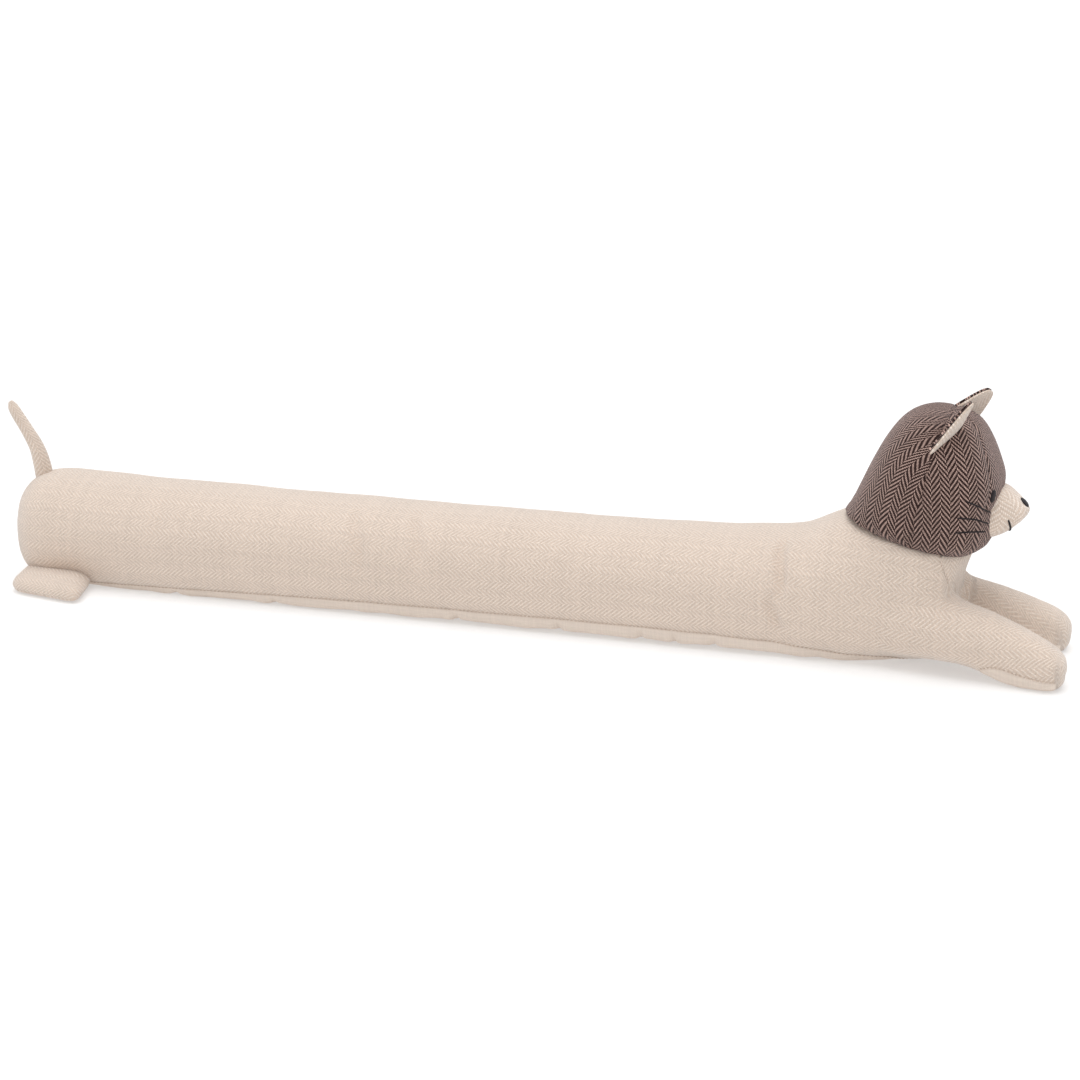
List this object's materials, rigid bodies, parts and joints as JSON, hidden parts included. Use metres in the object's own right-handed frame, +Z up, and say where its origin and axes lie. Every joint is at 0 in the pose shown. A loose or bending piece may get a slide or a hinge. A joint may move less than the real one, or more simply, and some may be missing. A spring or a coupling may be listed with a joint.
{
  "type": "draught excluder",
  "caption": "Stuffed draught excluder in the form of a lying cat, long and low with a flat plain base, in cream and brown herringbone cloth, laid along the foot of a door.",
  "frame": {"origin": "on the floor under the middle of the long body, in the flat face of the base panel", "axes": "+X towards the head, +Y to the animal's left, +Z up from the floor"},
  "size_m": [0.9539, 0.1758, 0.225],
  "materials": {
    "cream_herringbone": "matt wool-look herringbone tweed, cream with beige",
    "brown_herringbone": "matt wool-look herringbone tweed, dark brown with pinkish beige",
    "cream_plain": "matt plain-weave cotton",
    "black_thread": "black embroidery thread, slight sheen"
  },
  "bodies": {
    "root": {"body": "cream_herringbone", "chest_panel": "cream_herringbone", "base_panel": "cream_plain", "sole_right": "cream_plain", "sole_left": "cream_plain", "head": "brown_herringbone", "muzzle": "cream_herringbone", "nose": "black_thread", "eye_right": "black_thread", "eye_left": "black_thread", "ear_right": "brown_herringbone", "ear_lining_right": "cream_herringbone", "ear_left": "brown_herringbone", "ear_lining_left": "cream_herringbone", "tail": "cream_herringbone", "hind_foot_right": "cream_herringbone", "hind_foot_left": "cream_herringbone"}
  },
  "joints": []
}
